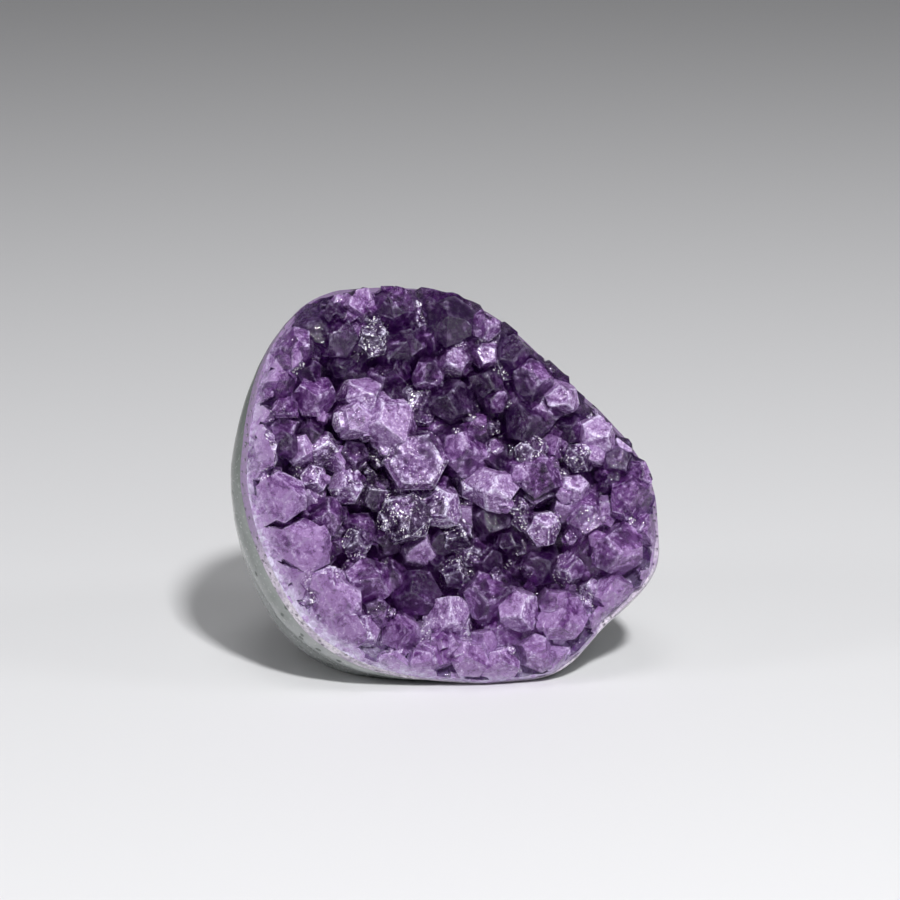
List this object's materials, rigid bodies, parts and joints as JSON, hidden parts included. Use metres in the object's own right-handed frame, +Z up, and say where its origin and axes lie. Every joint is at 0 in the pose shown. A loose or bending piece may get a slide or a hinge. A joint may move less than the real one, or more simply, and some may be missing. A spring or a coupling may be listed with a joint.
{
  "type": "amethyst geode",
  "caption": "Hand-sized polished amethyst geode: a rounded basalt stone, ground flat underneath, whose dished front is lined with pale quartz and purple crystal points.",
  "frame": {"origin": "middle of the bounding box at the ground flat base", "axes": "+Z up, the crystal face looks towards -Y and 14 degrees up, +X to the right of someone facing it"},
  "size_m": [0.0902, 0.0626, 0.0814],
  "materials": {
    "basalt": "ground and polished",
    "pale_quartz": "ground, finely pitted",
    "amethyst": "natural crystal faces, ground flush at the rim"
  },
  "bodies": {
    "root": {"rock_shell": "basalt", "quartz_band": "pale_quartz", "crystal_crust": "amethyst"}
  },
  "joints": []
}
